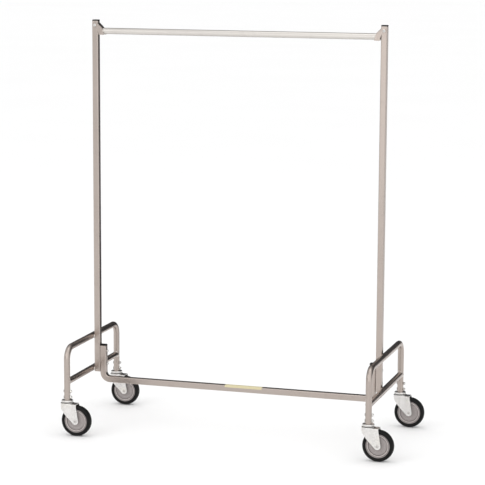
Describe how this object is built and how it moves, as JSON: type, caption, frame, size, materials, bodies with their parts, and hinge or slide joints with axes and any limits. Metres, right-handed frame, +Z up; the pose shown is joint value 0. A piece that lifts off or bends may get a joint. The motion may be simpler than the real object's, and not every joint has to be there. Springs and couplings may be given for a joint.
{
  "type": "rolling clothes rack",
  "caption": "Rolling clothes rack: square uprights in round tube hoops, round hanger bar, bent bottom rail, swivel casters.",
  "frame": {"origin": "centre of the footprint on the floor with all four casters trailing towards +X", "axes": "+X along the hanger bar towards the side the casters trail to, +Y to the back, +Z up"},
  "size_m": [1.4024, 0.6266, 1.692],
  "materials": {
    "frame_tube": "satin nickel plated steel tube",
    "bar_tube": "satin nickel plated steel tube, worn bright by hangers",
    "zinc_plate": "bright zinc plated pressed steel",
    "fastener_zinc": "bright zinc plated",
    "bush_steel": "plain drawn steel",
    "plug_plastic": "moulded, fine grain",
    "hub_plastic": "moulded grey plastic",
    "tyre_rubber": "matte black rubber"
  },
  "bodies": {
    "frame": {"left_upright": "frame_tube", "left_upright_plug": "plug_plastic", "left_base_hoop": "frame_tube", "left_base_crossbar": "frame_tube", "left_rail_plug": "plug_plastic", "left_bar_bracket": "frame_tube", "left_bar_bolt": "fastener_zinc", "left_bar_nut": "fastener_zinc", "left_rail_bolt_lower": "fastener_zinc", "left_rail_nut_lower": "fastener_zinc", "left_rail_bolt_upper": "fastener_zinc", "left_rail_nut_upper": "fastener_zinc", "right_upright": "frame_tube", "right_upright_plug": "plug_plastic", "right_base_hoop": "frame_tube", "right_base_crossbar": "frame_tube", "right_rail_plug": "plug_plastic", "right_bar_bracket": "frame_tube", "right_bar_bolt": "fastener_zinc", "right_bar_nut": "fastener_zinc", "right_rail_bolt_lower": "fastener_zinc", "right_rail_nut_lower": "fastener_zinc", "right_rail_bolt_upper": "fastener_zinc", "right_rail_nut_upper": "fastener_zinc", "hanger_bar": "bar_tube", "bottom_rail": "frame_tube", "front_left_caster_stem": "zinc_plate", "front_left_stem_bolt_lower": "fastener_zinc", "front_left_stem_bolt_upper": "fastener_zinc", "back_left_caster_stem": "zinc_plate", "back_left_stem_bolt_lower": "fastener_zinc", "back_left_stem_bolt_upper": "fastener_zinc", "front_right_caster_stem": "zinc_plate", "front_right_stem_bolt_lower": "fastener_zinc", "front_right_stem_bolt_upper": "fastener_zinc", "back_right_caster_stem": "zinc_plate", "back_right_stem_bolt_lower": "fastener_zinc", "back_right_stem_bolt_upper": "fastener_zinc"},
    "front_left_fork": {"front_left_caster_fork": "zinc_plate", "front_left_wheel_axle": "fastener_zinc", "front_left_wheel_bush": "bush_steel"},
    "front_left_wheel": {"front_left_wheel_hub": "hub_plastic", "front_left_wheel_tyre": "tyre_rubber"},
    "back_left_fork": {"back_left_caster_fork": "zinc_plate", "back_left_wheel_axle": "fastener_zinc", "back_left_wheel_bush": "bush_steel"},
    "back_left_wheel": {"back_left_wheel_hub": "hub_plastic", "back_left_wheel_tyre": "tyre_rubber"},
    "front_right_fork": {"front_right_caster_fork": "zinc_plate", "front_right_wheel_axle": "fastener_zinc", "front_right_wheel_bush": "bush_steel"},
    "front_right_wheel": {"front_right_wheel_hub": "hub_plastic", "front_right_wheel_tyre": "tyre_rubber"},
    "back_right_fork": {"back_right_caster_fork": "zinc_plate", "back_right_wheel_axle": "fastener_zinc", "back_right_wheel_bush": "bush_steel"},
    "back_right_wheel": {"back_right_wheel_hub": "hub_plastic", "back_right_wheel_tyre": "tyre_rubber"}
  },
  "joints": [
    {"name": "front_left_swivel", "type": "hinge", "parent": "frame", "child": "front_left_fork", "pos_m": [-0.6737, -0.28575, 0.13], "axis": [0, 0, 1], "continuous": true},
    {"name": "front_left_roll", "type": "hinge", "parent": "front_left_fork", "child": "front_left_wheel", "pos_m": [-0.6329, -0.28575, 0.0635], "axis": [0, 1, 0], "continuous": true},
    {"name": "back_left_swivel", "type": "hinge", "parent": "frame", "child": "back_left_fork", "pos_m": [-0.6737, 0.28575, 0.13], "axis": [0, 0, 1], "continuous": true},
    {"name": "back_left_roll", "type": "hinge", "parent": "back_left_fork", "child": "back_left_wheel", "pos_m": [-0.6329, 0.28575, 0.0635], "axis": [0, 1, 0], "continuous": true},
    {"name": "front_right_swivel", "type": "hinge", "parent": "frame", "child": "front_right_fork", "pos_m": [0.5969, -0.28575, 0.13], "axis": [0, 0, 1], "continuous": true},
    {"name": "front_right_roll", "type": "hinge", "parent": "front_right_fork", "child": "front_right_wheel", "pos_m": [0.6377, -0.28575, 0.0635], "axis": [0, 1, 0], "continuous": true},
    {"name": "back_right_swivel", "type": "hinge", "parent": "frame", "child": "back_right_fork", "pos_m": [0.5969, 0.28575, 0.13], "axis": [0, 0, 1], "continuous": true},
    {"name": "back_right_roll", "type": "hinge", "parent": "back_right_fork", "child": "back_right_wheel", "pos_m": [0.6377, 0.28575, 0.0635], "axis": [0, 1, 0], "continuous": true}
  ]
}
